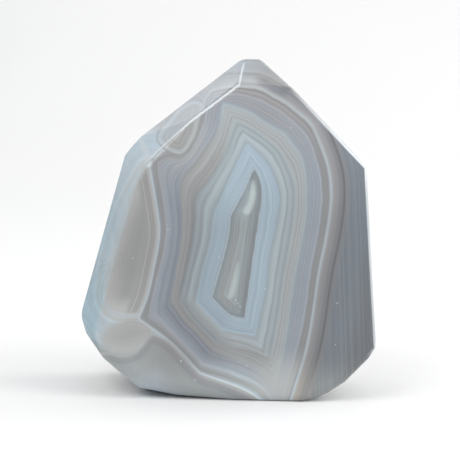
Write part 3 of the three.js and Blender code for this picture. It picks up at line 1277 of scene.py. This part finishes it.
# The white line along the ridge is a painted highlight: the light that the rounded edge would mirror.
ridge_highlight_half = along(height, 70, 77, 0.38, 0.3)
ragged_ridge_highlight = times(tree, maths(tree, "DIVIDE", number["ridge"], ridge_highlight_half),
                     clouds(tree, place, 0.8, 0.3, 4.0))
ridge = times(tree, fade(tree, ragged_ridge_highlight, 1.15, 0.5, 0.0, 0.8), along(deep, 6, 0))
surface = mix(tree, ridge, surface, colour("snow"))
blue_side = times(tree, along(across, 28, 34, 0.0, 0.18), along(height, 56, 46))
surface = mix(tree, blue_side, surface, colour("steel"))
# A painted highlight along the edges of the right side, where the rounded rim would mirror the lamps
# and let light through.
rim_highlight = times(tree, by("turned", 0.0, 0.2, 0.0, 0.75), by("turned", 1.0, 0.85),
                  along(across, 8, 30), along(height, 11, 15))
surface = mix(tree, rim_highlight, surface, colour("snow"))
tell_nodes("Arcs, branch, ridge and edges")

# %% Paler towards the apex and the foot, with haze, grain and pits
PALE_FOOT = (1.25, 1.3, 1.32)
PALE_CORNER = on_front((284, 389))
surface = film(tree, surface, along(height, 42, 74, 1.0, 1.28))
surface = film(tree, surface, PALE_FOOT, along(height, 12, 2))
corner = fade(tree, distance_to(tree, place, PALE_CORNER), 12 * MM, 1 * MM, 0.0, 0.75)
corner = times(tree, corner, by("wall", -0.3, -0.9))
surface = mix(tree, corner, surface, colour("chalk"))
surface = film(tree, surface, clouds(tree, place, 14.0, 0.03, 2.0))
surface = film(tree, surface, clouds(tree, place, 0.5, 0.015, 6.0))
surface = mix(tree, use_group(tree, pits, Place=place), surface, colour("snow"))
feed(tree, shader.inputs["Base Color"], surface)
tell_nodes("Haze, grain and pits")

# %% [markdown]
# ## Gloss
# Polished agate is glossy but not a mirror, so its roughness is low and varies with fine scratches.
# The low left rim is worn duller, and so it doesn't mirror the pale table.

# %% Finish the material
POLISH = 0.13
WORN = 0.5                          # how much rougher the low left rim is
AGATE_IOR = 1.54
worn = times(tree, by("turned", 0.75, 0.95), along(height, 38, 18), at_left, WORN)
dullness = maths(tree, "ADD", worn, POLISH)
scratches = clouds(tree, place, 3.0, 0.25, 9.0)
feed(tree, shader.inputs["Roughness"], times(tree, scratches, dullness))
shader.inputs["IOR"].default_value = AGATE_IOR

stone.data.materials.clear()
stone.data.materials.append(agate)
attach(stone, "root")
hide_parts("agate")
print("Material has", len(tree.nodes), "nodes")

# %% [markdown]
# ## Table and light
# The stone stands on a plain pale table that curves up behind it. A pale blue card stands on the
# table behind its left side, out of the camera's view, and the left facets mirror it. The light is
# soft: a pale sky all round, a large lamp from the upper left that whitens the top left facets, a
# weaker one from the right, a tall one far to the right that lights the rim there, and a faint one
# for the backdrop.

# %% The table
TABLE_SIZE = 2.4
BACK_EDGE = 0.8                     # where the table ends and the backdrop rises
BACKDROP_HEIGHT = 1.2
BACKDROP_CURVE = 0.45
BACKDROP_STEPS = 16
MATT = 0.9                          # roughness


def select_edges(thing, wanted):
    """Edit mode starts with those edges selected whose two ends both pass the test."""
    for edge in thing.data.edges:
        ends = [thing.matrix_world @ thing.data.vertices[i].co for i in edge.vertices]
        edge.select = all(wanted(end) for end in ends)
    bpy.ops.object.mode_set(mode="EDIT")
    bpy.ops.mesh.select_mode(type="EDGE")


def matt(thing, name, paint):
    material = bpy.data.materials.new(name)
    material.use_nodes = True
    finish = material.node_tree.nodes["Principled BSDF"]
    finish.inputs["Base Color"].default_value = (*paint, 1.0)
    finish.inputs["Roughness"].default_value = MATT
    thing.data.materials.append(material)


select_nothing()
table_place = (0.0, BACK_EDGE - TABLE_SIZE / 2, 0.0)
bpy.ops.mesh.primitive_plane_add(size=TABLE_SIZE, location=table_place)
table_top = bpy.context.object
table_top.name = "table"
bpy.ops.object.mode_set(mode="EDIT")
bpy.ops.mesh.select_all(action="DESELECT")
bpy.ops.object.mode_set(mode="OBJECT")
select_edges(table_top, lambda end: abs(end.y - BACK_EDGE) < MM)
bpy.ops.mesh.extrude_region_move(TRANSFORM_OT_translate={"value": (0.0, 0.0, BACKDROP_HEIGHT)})
bpy.ops.object.mode_set(mode="OBJECT")
select_edges(table_top, lambda end: abs(end.y - BACK_EDGE) < MM and abs(end.z) < MM)
bpy.ops.mesh.bevel(offset=BACKDROP_CURVE, segments=BACKDROP_STEPS, affect="EDGES")
bpy.ops.object.mode_set(mode="OBJECT")
bpy.ops.object.shade_smooth()
bpy.ops.object.transform_apply(location=True, rotation=True, scale=True)
matt(table_top, "pale table", (0.9, 0.9, 0.9))
print("Table and backdrop:", len(table_top.data.polygons), "faces")

# %% The blue card
CARD_WIDTH = 0.25
CARD_HEIGHT = 0.16
card_place = (-0.215, 0.42, CARD_HEIGHT / 2)
select_nothing()
bpy.ops.mesh.primitive_plane_add(size=1.0, location=card_place, rotation=(math.pi / 2, 0.0, 0.0))
card = bpy.context.object
card.name = "blue_card"
card.scale = (CARD_WIDTH, CARD_HEIGHT, 1.0)
bpy.ops.object.transform_apply(location=True, rotation=True, scale=True)
matt(card, "blue card", (0.62, 0.69, 0.74))
print("Card stands at", card_place)

# %% The lights
def soft_lamp(name, place, width, height, power, aim=LOOKS_AT):
    bpy.ops.object.light_add(type="AREA", location=place)
    lamp = bpy.context.object
    lamp.name = name
    lamp.data.shape = "RECTANGLE"
    lamp.data.size = width
    lamp.data.size_y = height
    lamp.data.energy = power
    direction = Vector(aim) - Vector(place)
    lamp.rotation_euler = direction.to_track_quat("-Z", "Y").to_euler()


soft_lamp("key lamp", (-0.36, -0.36, 0.52), 0.35, 0.35, 1.3)
soft_lamp("right lamp", (0.40, -0.20, 0.50), 0.35, 0.35, 1.0)
soft_lamp("tall rim lamp", (0.62, 0.20, 0.27), 0.30, 0.50, 1.8)
soft_lamp("backdrop lamp", (0.0, 0.1, 1.0), 0.8, 0.8, 0.6, aim=(0.0, 0.8, 0.35))

SKY_STRENGTH = 0.72
sky = bpy.data.worlds.new("pale sky")
sky.use_nodes = True
sky.node_tree.nodes["Background"].inputs["Color"].default_value = (1.0, 1.0, 1.0, 1.0)
sky.node_tree.nodes["Background"].inputs["Strength"].default_value = SKY_STRENGTH
bpy.context.scene.world = sky
bpy.context.scene.view_settings.view_transform = "Standard"
